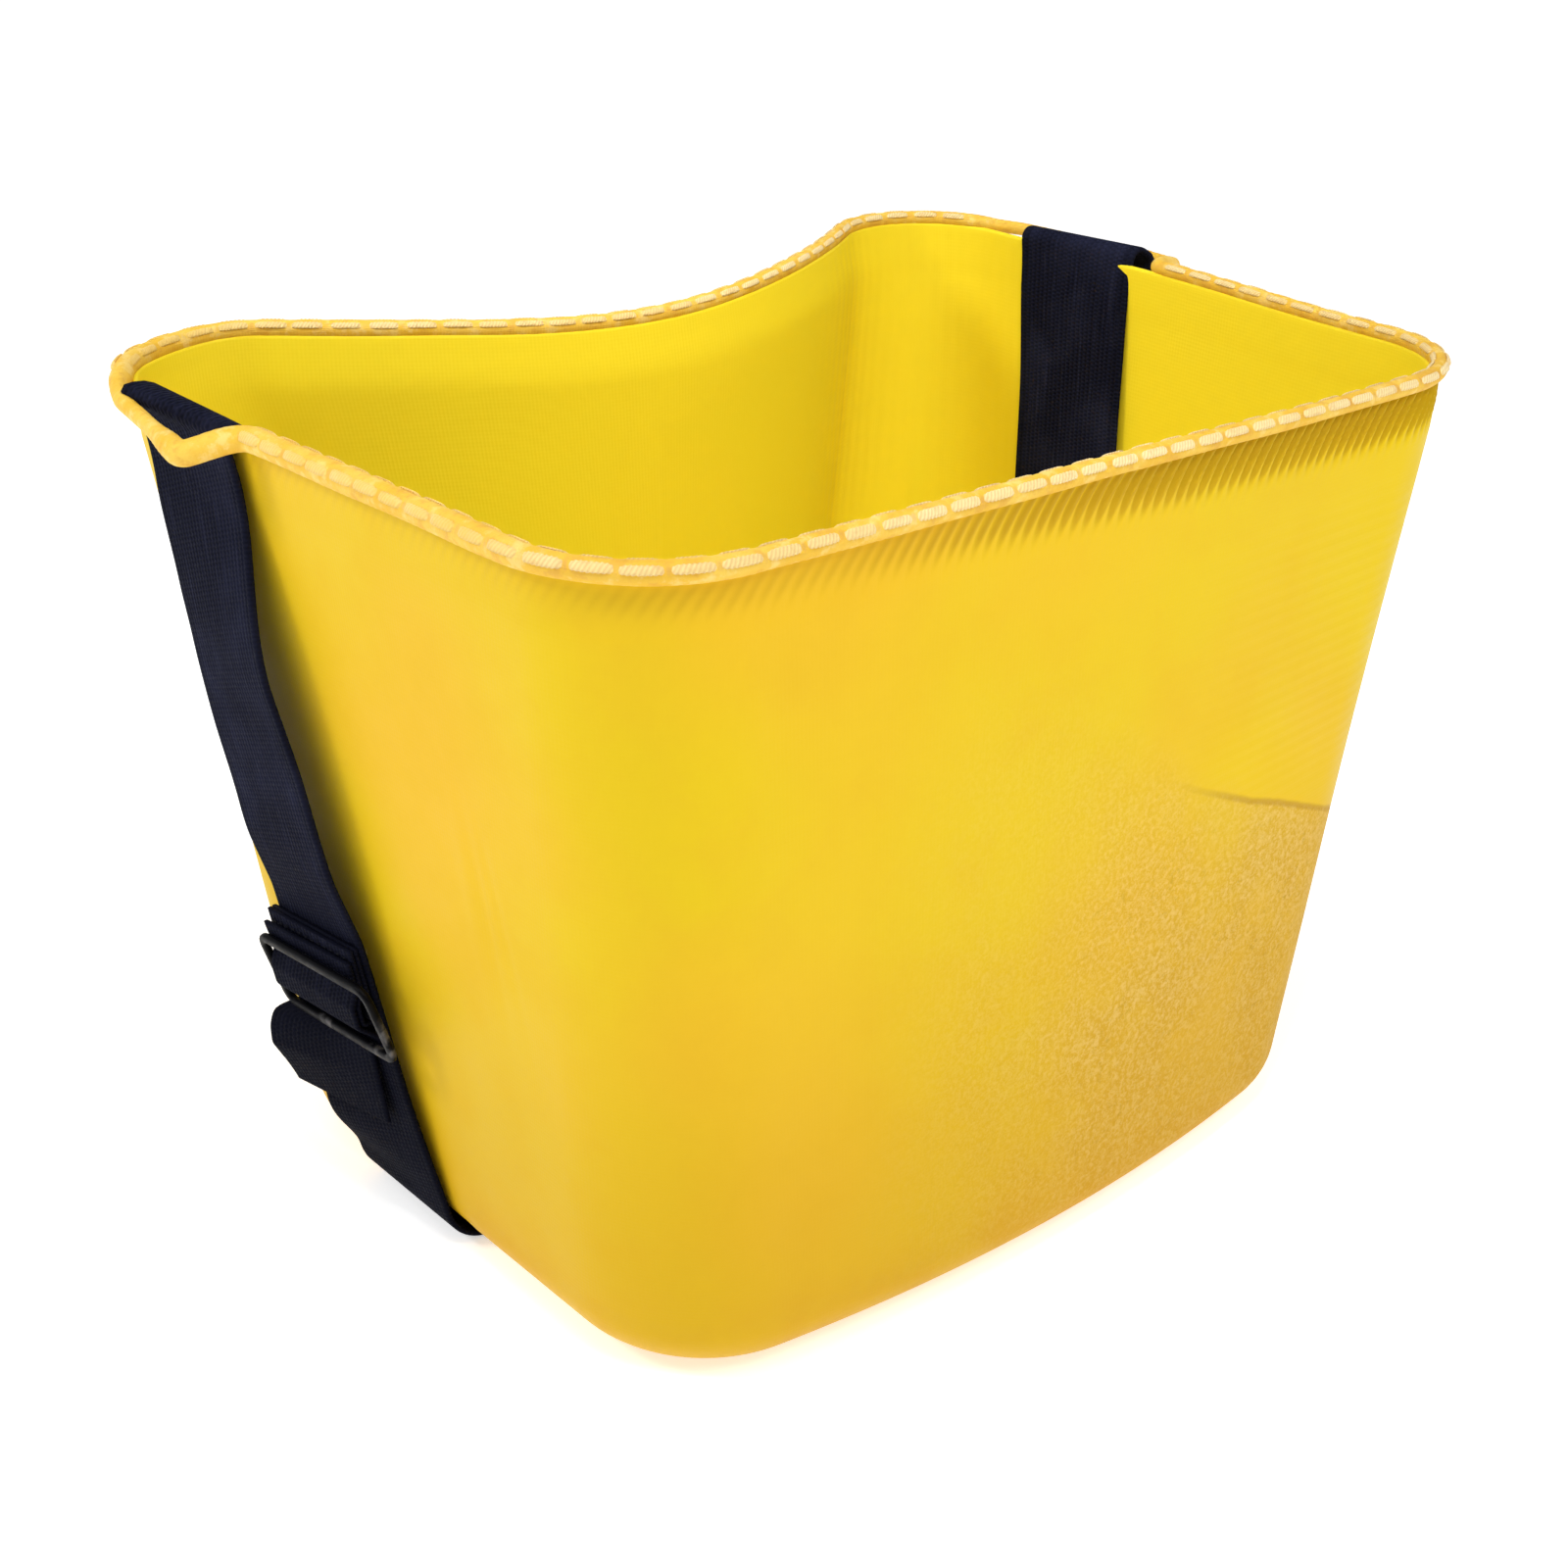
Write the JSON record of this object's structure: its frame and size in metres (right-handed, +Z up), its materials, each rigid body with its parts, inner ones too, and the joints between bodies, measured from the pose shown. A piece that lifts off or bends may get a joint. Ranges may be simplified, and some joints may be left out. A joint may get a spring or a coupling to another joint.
{
  "type": "fruit picking basket",
  "caption": "Kidney-shaped soft picking tub with a rolled, stitched rim and a webbing strap looped through slots at both ends and under the base, closed by a sliding three-bar buckle.",
  "frame": {"origin": "middle of the whole object's plan, on the surface that it stands on", "axes": "+X along the long way towards the end without the slide, -Y towards the bowed front, +Y towards the hollow back, +Z up"},
  "size_m": [0.3804, 0.2706, 0.2598],
  "materials": {
    "tub": "matte coated cloth",
    "binding": "matte",
    "wire": "plain spring wire",
    "ferrule": "plain",
    "thread": "matte",
    "webbing": "woven",
    "strap_thread": "matte",
    "slide": "satin black"
  },
  "bodies": {
    "basket": {"tub_shell": "tub", "rim_binding": "binding", "rim_wire": "wire", "wire_ferrule": "ferrule", "rim_stitches": "thread", "shoulder_strap": "webbing"},
    "slide": {"strap_slider": "slide", "strap_end_loop": "webbing", "strap_tail": "webbing", "loop_stitches": "strap_thread"}
  },
  "joints": [
    {"name": "slide_adjust", "type": "slide", "parent": "basket", "child": "slide", "axis": [-0.139, 0.1287, 0.9819], "range_m": [-0.01, 0.1]}
  ]
}
